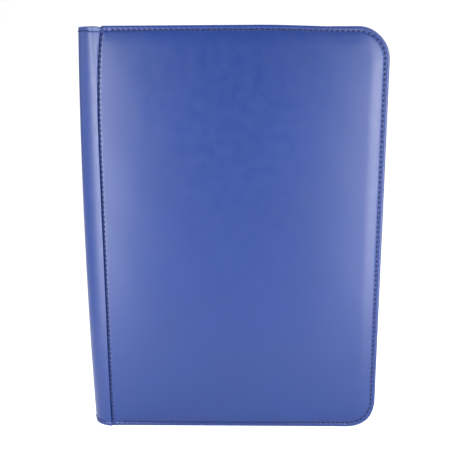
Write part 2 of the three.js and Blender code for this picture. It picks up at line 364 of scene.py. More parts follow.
def rescale(made, value, low, high, start=0.0, end=1.0):
    """low to high as value goes from start to end, and level beyond them."""
    inputs = {"Value": value, "From Min": start, "From Max": end, "To Min": low, "To Max": high}
    return node(made, "MapRange", inputs).outputs["Result"]


def combine(made, operation, a, b):
    """Two values through a Math node."""
    return node(made, "Math", {0: a, 1: b}, operation=operation).outputs["Value"]


def between(made, factor, dark, light):
    """A colour from dark to light as factor goes from 0 to 1."""
    mixed = node(made, "Mix", {0: factor}, data_type="RGBA")
    for socket, value in ((mixed.inputs[6], dark), (mixed.inputs[7], light)):
        if isinstance(value, bpy.types.NodeSocket):
            made.node_tree.links.new(value, socket)
        else:
            socket.default_value = (*value, 1)
    return mixed.outputs[2]


def wire(made, key, value):
    """Links a node's output to one of the shader's sockets."""
    shader = made.node_tree.nodes["Principled BSDF"]
    made.node_tree.links.new(value, shader.inputs[key])


def bump(made, *layers):
    """Adds surface relief. A layer is (height, millimetres deep)."""
    normal = None
    for height, depth in layers:
        inputs = {"Height": height, "Strength": 1.0, "Distance": depth * MM}
        if normal is not None:
            inputs["Normal"] = normal
        normal = node(made, "Bump", inputs).outputs["Normal"]
    wire(made, "Normal", normal)


def scaled(color, factor):
    """A colour made darker or lighter."""
    return tuple(channel * factor for channel in color)


def tint(made, factor, color, dark, light):
    """Colours the surface from dark to light times a colour as factor goes from 0 to 1."""
    wire(made, "Base Color", between(made, factor, scaled(color, dark), scaled(color, light)))


LEATHER_BLUE = (0.0026, 0.0150, 0.088)
THREAD_NAVY = (0.003, 0.006, 0.036)
TAPE_NAVY = (0.024, 0.044, 0.17)
BLACK = (0.012, 0.013, 0.017)


def leather_material():
    """Fine pebbled artificial leather, with painted shade darkening the needle holes and the seam's fold.
    """
    made = material("blue_leather", LEATHER_BLUE, 0.37, Specular_IOR_Level=0.37)
    patches = rescale(made, noise(made, 45, 3), 0, 1, 0.3, 0.7)
    tone = between(made, patches, scaled(LEATHER_BLUE, 0.955), scaled(LEATHER_BLUE, 1.045))
    pores = rescale(made, noise(made, 0.8, 3, 0.6), 0, 1, 0.25, 0.75)
    tone = between(made, rescale(made, pores, 0.0, 0.16), tone, scaled(LEATHER_BLUE, 0.72))
    # painted shade: a mesh attribute darkens the needle holes and the seam's fold, and makes them a little
    # glossier
    stitch_shade = node(made, "Attribute", attribute_name="stitch_shade").outputs["Fac"]
    tone = between(made, rescale(made, stitch_shade, 0.0, 0.7), tone, scaled(LEATHER_BLUE, 0.3))
    wire(made, "Base Color", tone)
    sheen = rescale(made, noise(made, 9, 4), 0.345, 0.405, 0.3, 0.7)
    wire(made, "Roughness", combine(made, "SUBTRACT", sheen, rescale(made, stitch_shade, 0, 0.06)))
    bump(made, (noise(made, 14, 2), 0.05), (cells(made, 0.95), 0.02), (noise(made, 0.45, 3), 0.012))
    return made


def thread_material():
    """Twisted sewing thread."""
    made = material("thread", THREAD_NAVY, 0.7, Specular_IOR_Level=0.25)
    twist = ribs(made, 0.5, "DIAGONAL")
    tint(made, twist, THREAD_NAVY, 0.7, 1.5)
    bump(made, (twist, 0.06), (noise(made, 0.2, 2), 0.02))
    return made


def woven_material(name, color, pitch, roughness=0.85):
    """Plain woven cloth: two crossing sets of yarns, uneven in tone."""
    made = material(name, color, roughness, Sheen_Weight=0.2, Sheen_Roughness=0.5)
    across = ribs(made, pitch, "X", 0.4)
    along = ribs(made, pitch * 0.8, "Z", 0.4)
    weave = combine(made, "MAXIMUM", across, along)
    slub = rescale(made, noise(made, 2.5, 4), 0, 1, 0.3, 0.7)
    yarn = between(made, weave, scaled(color, 0.45), scaled(color, 1.35))
    wire(made, "Base Color", between(made, rescale(made, slub, 0, 0.4), yarn, scaled(color, 1.9)))
    wire(made, "Roughness", rescale(made, slub, roughness - 0.08, roughness + 0.08))
    bump(made, (weave, 0.09), (noise(made, 0.3, 2), 0.02))
    return made


def tape_material():
    """Zip tape: close ribs crossed by a diagonal."""
    made = material("zip_tape", TAPE_NAVY, 0.8, Sheen_Weight=0.25, Sheen_Roughness=0.45)
    rib = combine(made, "MULTIPLY", ribs(made, 0.7, "Y"), ribs(made, 1.0, "DIAGONAL"))
    tint(made, rib, TAPE_NAVY, 0.6, 1.6)
    bump(made, (rib, 0.1), (noise(made, 0.3, 2), 0.02))
    return made


def teeth_material():
    """Moulded nylon."""
    made = material("zip_teeth", scaled(TAPE_NAVY, 0.9), 0.34, Coat_Weight=0.15)
    worn = rescale(made, noise(made, 3, 3), 0, 1, 0.35, 0.65)
    tint(made, worn, TAPE_NAVY, 0.75, 1.25)
    wire(made, "Roughness", rescale(made, worn, 0.28, 0.42))
    bump(made, (noise(made, 0.25, 2), 0.01))
    return made


def metal_material():
    """Gunmetal plating, rubbed brighter in patches, with fine scratches."""
    made = material("gunmetal", (0.16, 0.165, 0.18), 0.3, Metallic=1.0)
    rubbed = rescale(made, noise(made, 2.2, 4), 0, 1, 0.4, 0.7)
    wire(made, "Base Color", between(made, rubbed, (0.11, 0.115, 0.13), (0.33, 0.335, 0.35)))
    stretched = node(made, "Mapping", {"Vector": place_of(made), "Scale": (0.12, 1, 1)})
    lines = {"Vector": stretched.outputs["Vector"], "Scale": 1 / (0.35 * MM), "Detail": 3}
    scratch = node(made, "TexNoise", lines).outputs["Fac"]
    wire(made, "Roughness", rescale(made, scratch, 0.2, 0.42, 0.3, 0.7))
    bump(made, (scratch, 0.006))
    return made


def foam_material():
    """Open-cell foam."""
    pale = (0.62, 0.61, 0.56)
    made = material("foam", pale, 0.95)
    holes = cells(made, 0.8)
    tint(made, holes, pale, 0.6, 1.0)
    bump(made, (holes, 0.2), (noise(made, 0.3, 2), 0.05))
    return made


def board_material():
    """Grey recycled board with fibres."""
    grey = (0.26, 0.235, 0.2)
    made = material("board", grey, 0.9)
    fibre = noise(made, 0.6, 5, 0.7)
    specks = rescale(made, noise(made, 1.6, 2), 0, 1, 0.55, 0.7)
    tone = between(made, fibre, scaled(grey, 0.7), scaled(grey, 1.2))
    wire(made, "Base Color", between(made, rescale(made, specks, 0, 0.35), tone, (0.07, 0.06, 0.05)))
    bump(made, (fibre, 0.06))
    return made


def strip_material():
    """Black moulded plastic with a fine matt texture."""
    made = material("binding_plastic", (0.016, 0.016, 0.018), 0.5)
    grain = noise(made, 0.5, 3)
    wire(made, "Roughness", rescale(made, noise(made, 6, 3), 0.42, 0.6, 0.3, 0.7))
    wire(made, "Base Color", between(made, grain, (0.012, 0.012, 0.014), (0.024, 0.024, 0.027)))
    bump(made, (grain, 0.03))
    return made


def page_material():
    """Black sheet under clear film; "weld" is where the film is sealed to it."""
    made = material("pocket_page", (0.01, 0.01, 0.012), 0.16, Coat_Weight=0.6, Coat_Roughness=0.12)
    weld = node(made, "Attribute", attribute_name="weld").outputs["Fac"]
    cross = combine(made, "MULTIPLY", ribs(made, 0.9, "X"), ribs(made, 0.9, "Z"))
    sealed = combine(made, "MULTIPLY", weld, rescale(made, cross, 0.45, 1.0))
    haze = rescale(made, noise(made, 30, 4), 0, 1, 0.35, 0.7)
    film = between(made, haze, (0.008, 0.008, 0.010), (0.018, 0.018, 0.021))
    wire(made, "Base Color", between(made, sealed, film, (0.05, 0.05, 0.055)))
    smooth = rescale(made, haze, 0.12, 0.26)
    wire(made, "Roughness", combine(made, "ADD", smooth, rescale(made, weld, 0, 0.25)))
    bump(made, (noise(made, 26, 2), 0.35), (noise(made, 6, 2), 0.03), (sealed, 0.08))
    return made


# ---- covers ----


def loop(inset, left, stride=1):
    """Points (x, z) round a cover, anticlockwise from the bottom of the fold."""
    centre = EDGE - CORNER
    radius = CORNER - inset
    long = np.linspace(0, 1, BOTTOM_STEPS, endpoint=False)
    quarter = np.linspace(0, math.pi / 2, ARC_STEPS, endpoint=False)
    right = np.linspace(CORNER, HEIGHT - CORNER, RIGHT_STEPS, endpoint=False)
    down = np.linspace(HEIGHT - inset, inset, RIGHT_STEPS + ARC_STEPS, endpoint=False)
    start, end = left(inset), left(HEIGHT - inset)
    x = [
        start + (centre - start) * long,
        centre + radius * np.sin(quarter),
        np.full(RIGHT_STEPS, EDGE - inset),
        centre + radius * np.cos(quarter),
        centre + (end - centre) * long,
        left(down) + 0 * down,
    ]
    z = [
        np.full(BOTTOM_STEPS, inset),
        CORNER - radius * np.cos(quarter),
        right,
        HEIGHT - CORNER + radius * np.sin(quarter),
        np.full(BOTTOM_STEPS, HEIGHT - inset),
        down,
    ]
    return np.column_stack([np.concatenate(x), np.concatenate(z)])[::stride]


FREE_STEPS = 2 * (BOTTOM_STEPS + ARC_STEPS) + RIGHT_STEPS


def free_edge(inset, start, stride=1):
    """Points (x, z) along the three free edges only, from the bottom to the top."""
    return loop(inset, lambda z: start)[: FREE_STEPS + 1 : stride]


def coons(ring, stride, first, start):
    """Fills a loop with a grid. The loop's points are numbered from first and the new ones from
    start. Returns the new (x, z) points and the quads."""
    across = (BOTTOM_STEPS + ARC_STEPS // 2) // stride
    up = (RIGHT_STEPS + ARC_STEPS) // stride
    closed = np.vstack([ring, ring[:1]])
    numbers = np.append(np.arange(len(ring)), 0) + first
    cuts = (0, across, across + up, 2 * across + up, 2 * (across + up))
    bottom, right, top, left = (closed[a : b + 1] for a, b in zip(cuts, cuts[1:]))
    top, left = top[::-1], left[::-1]
    u = np.linspace(0, 1, across + 1)[None, :, None]
    v = np.linspace(0, 1, up + 1)[:, None, None]
    grid = (1 - v) * bottom[None] + v * top[None] + (1 - u) * left[:, None] + u * right[:, None]
    grid = grid - (1 - u) * (1 - v) * bottom[0] - u * (1 - v) * bottom[-1]
    grid = grid - (1 - u) * v * top[0] - u * v * top[-1]
    index = np.zeros((up + 1, across + 1), int)
    bottom_row, right_column, top_row, left_column = (numbers[a : b + 1] for a, b in zip(cuts, cuts[1:]))
    index[0] = bottom_row
    index[:, -1] = right_column
    index[-1] = top_row[::-1]
    index[:, 0] = left_column[::-1]
    inner = (up - 1) * (across - 1)
    index[1:-1, 1:-1] = np.arange(inner).reshape(up - 1, across - 1) + start
    return grid[1:-1, 1:-1].reshape(-1, 2), quads(index)


def between_loops(first, second):
    """Faces between two loops with equal counts, or one twice the other."""
    if len(first) < len(second):
        first, second = second, first
    ratio = len(first) // len(second)
    outer = np.append(first, first[0])
    inner = np.append(second, second[0])
    faces = []
    for k in range(len(second)):
        faces.append([*outer[k * ratio : (k + 1) * ratio + 1], inner[k + 1], inner[k]])
    return faces


def slab(name, side, loops, surface):
    """A closed layer of a cover. loops is a list of (inset, left edge, out, stride), from the
    middle of one face over the rim to the middle of the other; out(x, z) is a distance."""
    flat, outs, faces, numbers = [], [], [], []
    count = 0
    for inset, left, out, stride in loops:
        ring = loop(inset, left, stride)
        numbers.append(np.arange(len(ring)) + count)
        flat.append(ring)
        outs.append(out(*ring.T) + 0 * ring[:, 0])
        count += len(ring)
    for first, second in zip(numbers, numbers[1:]):
        faces += between_loops(first, second)
    for end in (0, len(loops) - 1):
        _, _, out, stride = loops[end]
        points, inner_faces = coons(flat[end], stride, numbers[end][0], count)
        flat.append(points)
        outs.append(out(*points.T) + 0 * points[:, 0])
        faces += inner_faces
        count += len(points)
    x, z = settle(*np.vstack(flat).T)
    return make(name, grid_points(x, side * np.concatenate(outs), z), faces, surface)


CLOTH_STEPS = 20
LEATHER_CLOTH = {
    "mass": 0.3,
    "quality": 6,
    "tension_stiffness": 40,
    "compression_stiffness": 40,
    "bending_stiffness": 8,
    "air_damping": 4,
    "use_pressure": True,
    "uniform_pressure_force": 3,
}


def swell_field(step=6.0):
    """How the leather swells over its foam, from 0 to 1 on a grid: a sheet of cloth pinned
    along the stitching is blown out by a light pressure."""
    xs = np.linspace(FOLD_X, EDGE, round((EDGE - FOLD_X) / step) + 1)
    zs = np.linspace(0, HEIGHT, round(HEIGHT / step) + 1)
    x, z = np.meshgrid(xs, zs)
    inset = np.minimum(free_inset(x, z), x - fold_x(z))
    mesh = bpy.data.meshes.new("sheet")
    points = grid_points(x.ravel(), 0, z.ravel()) * MM
    mesh.from_pydata(points.tolist(), [], grid_faces(len(zs), len(xs)))
    sheet = placed("sheet", mesh)
    pinned = sheet.vertex_groups.new(name="stitched")
    pinned.add(np.flatnonzero(inset.ravel() < PAD_START + 1).tolist(), 1.0, "REPLACE")
    cloth = sheet.modifiers.new("cloth", "CLOTH")
    cloth.settings.vertex_group_mass = "stitched"
    for setting, value in LEATHER_CLOTH.items():
        setattr(cloth.settings, setting, value)
    cloth.settings.effector_weights.gravity = 0
    cloth.collision_settings.use_collision = False
    cloth.point_cache.frame_start = 1
    cloth.point_cache.frame_end = CLOTH_STEPS
    for step_number in range(1, CLOTH_STEPS + 1):
        bpy.context.scene.frame_set(step_number)
    settled = sheet.evaluated_get(bpy.context.evaluated_depsgraph_get()).data
    found = np.empty(x.size * 3, np.float32)
    settled.vertices.foreach_get("co", found)
    rise = abs(found.reshape(-1, 3)[:, 1]).reshape(x.shape).astype(float)
    bpy.context.scene.frame_set(1)
    bpy.data.objects.remove(sheet)
    return xs, zs, rise / max(rise.max(), 1e-9)


SWELL_FIELD = swell_field()


def spline_shares(t):
    """Shares of four neighbouring grid values in a smooth curve, t of the way along."""
    before, after = (1 - t) ** 3 / 6, t**3 / 6
    second = (4 - 6 * t**2 + 3 * t**3) / 6
    third = (1 + 3 * t + 3 * t**2 - 3 * t**3) / 6
    return before, second, third, after


def swell(x, z):
    """The swell field at any point."""
    xs, zs, field = SWELL_FIELD
    u = np.clip((x - xs[0]) / (xs[1] - xs[0]), 0, len(xs) - 1.001)
    v = np.clip((z - zs[0]) / (zs[1] - zs[0]), 0, len(zs) - 1.001)
    i, j = u.astype(int), v.astype(int)
    found = 0
    for across, x_share in enumerate(spline_shares(u - i), -1):
        for up, z_share in enumerate(spline_shares(v - j), -1):
            column = np.clip(i + across, 0, len(xs) - 1)
            row = np.clip(j + up, 0, len(zs) - 1)
            found = found + x_share * z_share * field[row, column]
    return found


def stitch_relief(x, z):
    """How far the thread pulls the leather in along the edge and the seam."""
    from_edge = free_inset(x, z) - STITCH_INSET
    from_seam = x - fold_x(z) - SEAM_STITCH
    pulled = STITCH_SINK * np.maximum(bell(from_edge, 0.7), bell(from_seam, 0.55))
    near_edge = np.exp(-abs(from_edge) / 1.5)
    near_seam = np.exp(-abs(from_seam) / 1.3)
    waves = stitch_phase(edge_run(x, z)) * near_edge + stitch_phase(z) * near_seam
    return pulled + PUCKER * waves


def hole_along(run):
    """1 at both ends of each stitch, for a length along the stitching."""
    from_middle = abs((run / STITCH_PITCH + 0.5) % 1 - 0.5) * STITCH_PITCH
    return bell(from_middle - STITCH_LENGTH / 2, 0.35)


def painted_stitch_shade(x, z):
    """Painted shade: 1 in the holes where the thread goes in and 0 elsewhere; the seam's fold is painted
    dark too.
    """
    seam = x - fold_x(z)
    edge = bell(free_inset(x, z) - STITCH_INSET, 0.5) * hole_along(edge_run(x, z))
    side = bell(seam - SEAM_STITCH, 0.45) * (0.5 + 0.5 * hole_along(z))
    # painted shade in the seam's fold
    crease = 0.5 * bell(seam - 0.1, 0.35)
    return np.maximum(np.maximum(edge, side), crease)


def unevenness(x, z):
    """The slow waviness of hand-laid leather."""
    wave = np.sin(x / 31 + 1.3) * np.sin(z / 47 + 0.4) + 0.6 * np.sin(x / 17 - z / 23 + 2.1)
    return 0.05 * wave + 0.03 * np.sin(x / 9 + z / 13)


def leather_out(x, z):
    """Outer face of a cover's panel."""
    inset = free_inset(x, z)
    seam = x - fold_x(z)
    from_seam = SEAM_STEP * ramp(seam, 0, 1) + (1 - SEAM_STEP) * roll(seam - 2.0, SEAM_ROLL)
    pad = PAD_RISE * roll(inset - PAD_START, PAD_ROLL) * from_seam + SWELL * swell(x, z)
    welts = WELT * bell(inset - WELT_INSET, 0.8) + SEAM_WELT * bell(seam - SEAM_WELT_INSET, 0.55)
    edges = RIM_DROP * rounding(inset, RIM_WIDTH) + FOLD_DROP * rounding(seam, FOLD_WIDTH)
    uneven = unevenness(x, z) * ramp(inset, 0, 12)
    return LIP + PROUD + pad + welts - edges - stitch_relief(x, z) + uneven


def steps_in(inset, left, rows):
    """Loops for slab(), each a distance further in than inset and left. A row is (distance, out,
    stride)."""
    return [(inset + d, lambda z, d=d: left + d, out, stride) for d, out, stride in rows]


def leather_panel(prefix, side, surface):
    """The padded outer panel: a thin shell over the foam, folded under beside the spine."""
    cavity = FOAM_LOW[0] - 0.3
    hollow = CORE_INSET - 0.5
    wall = 0.2

    def folded(seam):
        return lambda z: fold_x(z) + seam

    def under(x, z):
        return np.maximum(leather_out(x, z) - LEATHER, LIP - 0.05)

    def back(x, z):
        return LIP - LEATHER + (LEATHER - 0.03) * (1 - ramp(x, cavity - wall, cavity))

    loops = steps_in(hollow, cavity, [(6, under, 4), (3, under, 2), (0, under, 1)])
    loops += [(hollow, lambda z: cavity - wall, back, 1), (0.05, folded(0.05), back, 1)]
    loops += [(d, folded(s), leather_out, 1) for d, s in zip(FREE_INSETS, SEAM_INSETS)]
    loops += [(11.0, folded(9.2), leather_out, 2)]
    piece = slab(f"{prefix}_panel", side, loops, surface)
    spots = places(piece)
    # painted shade in the needle holes and the seam's fold, on the outer face only
    holes = painted_stitch_shade(spots[:, 0], spots[:, 2]) * (abs(spots[:, 1]) > LIP - LEATHER / 2)
    attribute(piece, "stitch_shade", holes)
    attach(piece, f"{prefix}_cover")
    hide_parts(f"{prefix}_leather")


def foam_pad(prefix, side, surface):
    """The pad that fills the panel's hollow."""

    def top(x, z):
        return np.maximum(leather_out(x, z) - LEATHER - 0.06, LIP - 0.1)

    def bottom(x, z):
        return -FOAM_HIGH[1]

    def half(x, z):
        return (top(x, z) + bottom(x, z)) / 2

    rows = [(3, bottom, 4), (0.4, bottom, 4), (0, half, 4), (0.4, top, 4), (3, top, 4)]
    piece = slab(f"{prefix}_foam_pad", side, steps_in(CORE_INSET, FOAM_LOW[0], rows), surface)
    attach(piece, f"{prefix}_cover")
    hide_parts(f"{prefix}_foam")


LINING_STITCH = 3.0
HEM, HEM_WIDTH = 0.42, 0.7


def lining_out(x, z):
    """Inner face of a cover, towards the pages: a turned hem and its stitch line."""
    inset = np.minimum(free_inset(x, z) - CORE_INSET, x - LINING_LOW[0])
    hem = HEM * rounding(inset, HEM_WIDTH)
    groove = 0.16 * bell(inset - LINING_STITCH, 0.45)
    slack = 0.04 * np.sin(x / 21 + 0.5) * np.sin(z / 33) * ramp(inset, 4, 20)
    return -LINING_HIGH[1] + hem + groove + slack + 0.05


def inner_lining(prefix, side, surface):
    """The cloth panel that faces the pages."""

    def backed(x, z):
        return -LINING_LOW[1]

    rows = [(4, backed, 4), (1, backed, 2)]
    rows += [(d, lining_out, 2) for d in (0.03, 0.2, 0.5, 0.9, 1.6, 2.3, 2.8, 3.2, 3.8, 5.0, 7.0)]
    rows += [(10, lining_out, 4)]
    piece = slab(f"{prefix}_inner_panel", side, steps_in(CORE_INSET, LINING_LOW[0], rows), surface)
    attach(piece, f"{prefix}_cover")
    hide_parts(f"{prefix}_lining")


# ---- stitches ----


def stitches(centres, tangents, normals, length=STITCH_LENGTH, radius=0.6, slant=0.12):
    """Short bowed threads that dive into the leather at both ends."""
    across = np.cross(tangents, normals)
    t, s, n, c = (value[:, None, None, :] for value in (tangents, across, normals, centres))
    u = np.linspace(-1, 1, 7)[None, :, None, None]
    a = circle(6)[None, None, :, None]
    lift = radius * (0.5 - 1.9 * u**4)
    thick = radius * (1 - 0.35 * u**6)
    middle = c + (t + s * slant) * (u * length / 2) + n * lift
    return lofts(middle + n * (thick * np.cos(a)) + s * (thick * np.sin(a)))


def along(path, pitch, first, last):
    """Points and directions every pitch along a polyline, from first to last from its end."""
    lengths = np.append(0, np.cumsum(np.linalg.norm(np.diff(path, axis=0), axis=1)))
    runs = pitch * np.arange(math.ceil(first / pitch), (lengths[-1] - last) / pitch)
    spots = np.column_stack([np.interp(runs, lengths, axis) for axis in path.T])
    ahead = np.column_stack([np.interp(runs + 0.1, lengths, axis) for axis in path.T])
    return spots, unit(ahead - spots)


def on_cover(flat, ways, side, out):
    """Lays (x, z) points and directions on a cover: centres, tangents and normals."""
    x, z = settle(*flat.T)
    normals = np.tile([0.0, side, 0.0], (len(flat), 1))
    return grid_points(x, side * out(*flat.T), z), grid_points(ways[:, 0], 0, ways[:, 1]), normals


def cover_thread(prefix, side, surface):
    """The edge stitching and the seam stitching of one cover."""
    edge, edge_ways = along(free_edge(STITCH_INSET, FOLD_X), STITCH_PITCH, 9, 11)
    heights = np.arange(1.5 * STITCH_PITCH, HEIGHT - 5, STITCH_PITCH)
    seam = np.column_stack([fold_x(heights) + SEAM_STITCH, heights])
    seam_ways = unit(np.column_stack([fold_x(heights + 1) - fold_x(heights), 0 * heights + 1]))
    lines = ((edge, edge_ways), (seam, seam_ways))
    parts = [stitches(*on_cover(flat, ways, side, leather_out)) for flat, ways in lines]
    piece = make(f"{prefix}_thread", *joined(parts), surface)
    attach(piece, f"{prefix}_cover")
    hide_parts(f"{prefix}_edge_stitching", f"{prefix}_seam_stitching")


def lining_thread(prefix, side, surface):
    """The finer stitching round the inner panel."""
    path = free_edge(CORE_INSET + LINING_STITCH, LINING_LOW[0] + LINING_STITCH)
    edge, ways = along(path, 3.2, 1, 1)
    centres, tangents, normals = on_cover(edge, ways, side, lining_out)
    threads = stitches(centres, tangents, -normals, length=2.2, radius=0.2, slant=0.0)
    piece = make(f"{prefix}_inner_thread", *threads, surface)
    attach(piece, f"{prefix}_cover")


# ---- spine ----

END_STITCH = 3.4
SKIN_END = FOAM_LOW[0] - 0.4  # x where the skin ends under a cover's panel
SPINE_RIM_DROP, SPINE_RIM_WIDTH = 0.45, 0.5
SPINE_GROOVE, SPINE_PUCKER = 0.4, 0.06
SPINE_SUNK = 0.06  # under the panel
NOTCH, NOTCH_WIDTH, NOTCH_FROM_FOLD, NOTCH_HEIGHT = 0.7, 1.3, 1.6, 6.0
HEM_RADIUS = box_of("spine_lining")[1][1] - 0.3


def end_rows():
    """Heights of the rows of points on the spine, close together at both ends."""
    ends = np.array([0, .07, .2, .5, 1, 1.6, 2.1, 2.6, 3, 3.4, 3.8, 4.2, 4.8, 5.6, 6.6, 8, 10, 13, 17])
    middle = np.linspace(21, HEIGHT - 21, 61)
    return np.concatenate([ends, middle, HEIGHT - ends[::-1]])


def half_round(runs, radius):
    """x and out of points along the spine's outline, from its middle line to the cover."""
    angle = np.minimum(runs / SPINE_RADIUS, math.pi / 2)
    leg = np.maximum(runs - SPINE_RADIUS * math.pi / 2, 0)
    return SPINE_X - radius * np.cos(angle) + leg, radius * np.sin(angle)


def puffed(x, z):
    """How the spine swells towards the seam, 0 to 1, and drops into it."""
    crest = fold_x(z) - 0.5
    start = SPINE_X - PUFF_START
    return np.clip((x - start) / (crest - start), 0, 1) ** 1.6 * (1 - ramp(x, crest, crest + 0.7))


def spine_skin(prefix, side, surface):
    """Half of the spine's leather, which runs on under the edge of one cover's panel."""
    arc = SPINE_RADIUS * math.pi / 2
    runs = np.concatenate([[0, .1, .3, .6], np.arange(1, arc, 0.8), arc + np.arange(0.1, 2.6, 0.35)])
    run = np.append(runs, np.linspace(runs[-1] + 0.6, arc + SKIN_END - SPINE_X, 9))[None, :]
    z = end_rows()[:, None]
    end = np.minimum(z, HEIGHT - z)
    rim = SPINE_RIM_DROP * rounding(end, SPINE_RIM_WIDTH)
    groove = SPINE_GROOVE * bell(end - END_STITCH, 0.55)
    pucker = SPINE_PUCKER * stitch_phase(run) * np.exp(-abs(end - END_STITCH) / 1.5)
    uneven = 0.07 * np.sin(z / 41 + 0.7) * np.sin(run / 9 + 0.5) * ramp(end, 2, 15)
    sunk = SPINE_SUNK * ramp(run, arc, arc + 1.5)
    outer_radius = SPINE_RADIUS - rim - groove + pucker + uneven - sunk
    bow = spine_bow(z) * np.cos(np.minimum(run / SPINE_RADIUS, math.pi / 2))
    hem = (1 - ramp(end, 1.4, 2.0)) * (1 - ramp(run, arc - 3, arc - 0.4))
    inner_radius = SPINE_RADIUS - LEATHER - (SPINE_RADIUS - LEATHER - HEM_RADIUS) * hem
    to_notch = half_round(run, SPINE_RADIUS)[0] - fold_x(HEIGHT) + NOTCH_FROM_FOLD
    notch = NOTCH * bell(to_notch, NOTCH_WIDTH) * ramp(z, HEIGHT - NOTCH_HEIGHT, HEIGHT)
    grids = []
    for radius, drop in ((outer_radius, notch), (inner_radius, notch + 0.5 * hem)):
        x, out = half_round(run, radius)
        tall = z - np.where(z > HEIGHT / 2, drop, notch - drop)
        grids.append(grid_points(x - bow, side * (out + SPINE_PUFF * puffed(x, z)), tall))
    piece = make(f"{prefix}_spine_skin", *sandwich(*grids), surface)
    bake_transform(piece)
    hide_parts("spine_leather")


def spine_layer(name, surface, thickness, wave):
    """A half-round layer inside the spine, softly uneven."""
    low, high = box_of(name)
    leg = high[0] - SPINE_X
    angles = np.linspace(-math.pi / 2, math.pi / 2, 37)
    z = np.linspace(low[2], high[2], 60)[:, None]
    grids = []
    for radius in (high[1], high[1] - thickness):
        wavy = radius + wave * np.sin(z / 19) * np.sin(3 * angles)[None, :]
        x = SPINE_X - (wavy + spine_bow(z)) * np.cos(angles)
        y = wavy * np.sin(angles)
        x = np.hstack([x[:, :1] + leg, x, x[:, -1:] + leg])
        y = np.hstack([y[:, :1], y, y[:, -1:]])
        grids.append(grid_points(x, y, z))
    piece = make(f"{name}_layer", *sandwich(*grids), surface)
    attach(piece, "spine")
    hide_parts(name)


def spine_thread(surface):
    """Stitching across both ends of the spine."""
    reach = SPINE_RADIUS * math.pi / 2 - 2
    runs = STITCH_PITCH * np.arange(-math.floor(reach / STITCH_PITCH), reach / STITCH_PITCH)
    angle = runs / SPINE_RADIUS
    normals = grid_points(-np.cos(angle), np.sin(angle), 0)
    tangents = grid_points(np.sin(angle), np.cos(angle), 0)
    parts = []
    for z in (END_STITCH, HEIGHT - END_STITCH):
        centres = normals * (SPINE_RADIUS - 0.36) + [SPINE_X, 0, z]
        centres[:, 0] -= spine_bow(z) * np.cos(angle)
        parts.append(stitches(centres, tangents, normals))
    piece = make("spine_thread", *joined(parts), surface)
    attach(piece, "spine")


def hinge_lining(prefix, side, surface):
    """The strip of lining that bridges the fold between the binding strip and a cover."""
    start_x, start_out = STRIP_HIGH[0] - 1.2, STRIP_HIGH[1]
    end_x, end_out = LINING_LOW[0] + 0.3, -LINING_HIGH[1] + 0.1
    u = np.linspace(0, 1, 9)[None, :]
    z = np.linspace(STRIP_LOW[2] + 1, STRIP_HIGH[2] - 1, 50)[:, None]
    x = start_x + (end_x - start_x) * u
    out = start_out + (end_out - start_out) * u - 0.35 * np.sin(math.pi * u) + 0.05 * np.sin(z / 11)
    grids = [grid_points(x, side * (out + shift), z) for shift in (0.2, -0.1)]
    piece = make(f"{prefix}_hinge_lining", *sandwich(*grids), surface)
    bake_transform(piece)


def end_tab(name, surface):
    """Soft tab that closes the spine's hollow at one end of the zip."""
    low, high = box_of(name)
    middle = (low[2] + high[2]) / 2
    inwards = 1 if middle < HEIGHT / 2 else -1
    u = np.linspace(0, 1, 22)[None, :]
    v = np.linspace(-1, 1, 24)[:, None]
    start = low[0] - spine_bow(middle)
    x = start + (high[0] - start) * u
    room = np.sqrt(np.maximum((SPINE_X - start + 0.6) ** 2 - np.minimum(x - SPINE_X, 0) ** 2, 4))
    sag = inwards * 0.5 * (1 - v**2) * np.sin(math.pi * u)
    thin = 0.4 - 0.15 * np.maximum(abs(v) ** 8, (2 * u - 1) ** 8)
    y = v * np.minimum(room, high[1])
    grids = [grid_points(x, y, middle + sag + way * thin) for way in (1, -1)]
    piece = make(f"{name}_cloth", *sandwich(*grids), surface)
    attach(piece, "spine")
    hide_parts(name)


# ---- zip ----


TAPE_TURN = 1.2  # radius of the tape's turn from flange to wall
TAPE_BOW = 0.3
TAPE_HALF, TAPE_EDGE_HALF = 0.3, 0.42  # half thicknesses, the second along the teeth


def tape_section():
    """The tape's outline (insets, outs): a flange under the lip, then a bowed wall with a thicker
    edge along the teeth."""
    flange_out, end_out = LIP - LEATHER - 0.3, -TAPE_HIGH[1]
    wall_out = flange_out - TAPE_TURN
    bend = np.linspace(0, math.pi / 2, 6)
    flat = np.linspace(1.2, ZIP_INSET - TAPE_TURN, 5)[:-1]
    wall = np.linspace(wall_out, end_out, 9)[1:]
    bow = TAPE_BOW * np.sin(math.pi * (wall_out - wall) / (wall_out - end_out))
    inset = np.concatenate([flat, ZIP_INSET - TAPE_TURN * (1 - np.sin(bend)), ZIP_INSET + bow])
    out = np.concatenate([0 * flat + flange_out, flange_out - TAPE_TURN * (1 - np.cos(bend)), wall])
    half = np.full(len(inset), TAPE_HALF)
    half[-2:] = TAPE_EDGE_HALF
    way = unit(np.column_stack([np.gradient(inset), np.gradient(out)]))
    shift = np.array([half * way[:, 1], -half * way[:, 0]])
    centre = np.array([inset, out])
    return np.hstack([centre + shift, (centre - shift)[:, ::-1]])


def tape_half(prefix, side, surface):
    """One half of the tape, which runs round the three free edges."""
    columns = []
    for inset, out in tape_section().T:
        x, z = free_edge(inset, ZIP_START, 2).T
        columns.append(grid_points(x, side * out, z))
    piece = make(f"{prefix}_tape", *lofts(np.stack(columns, 1)[None]), surface)
    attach(piece, f"{prefix}_cover")
    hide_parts(f"{prefix}_zip_tape")


TOOTH_PITCH = 1.4
TOOTH = (  # out from the mid-plane, half width along the row, half thickness
    (4.2, 0.30, 0.75),
    (3.3, 0.30, 0.95),
    (2.1, 0.27, 0.95),
    (1.0, 0.27, 0.90),
    (0.2, 0.31, 0.85),
    (-0.4, 0.34, 0.85),
    (-0.8, 0.30, 0.70),
    (-1.0, 0.14, 0.35),
)


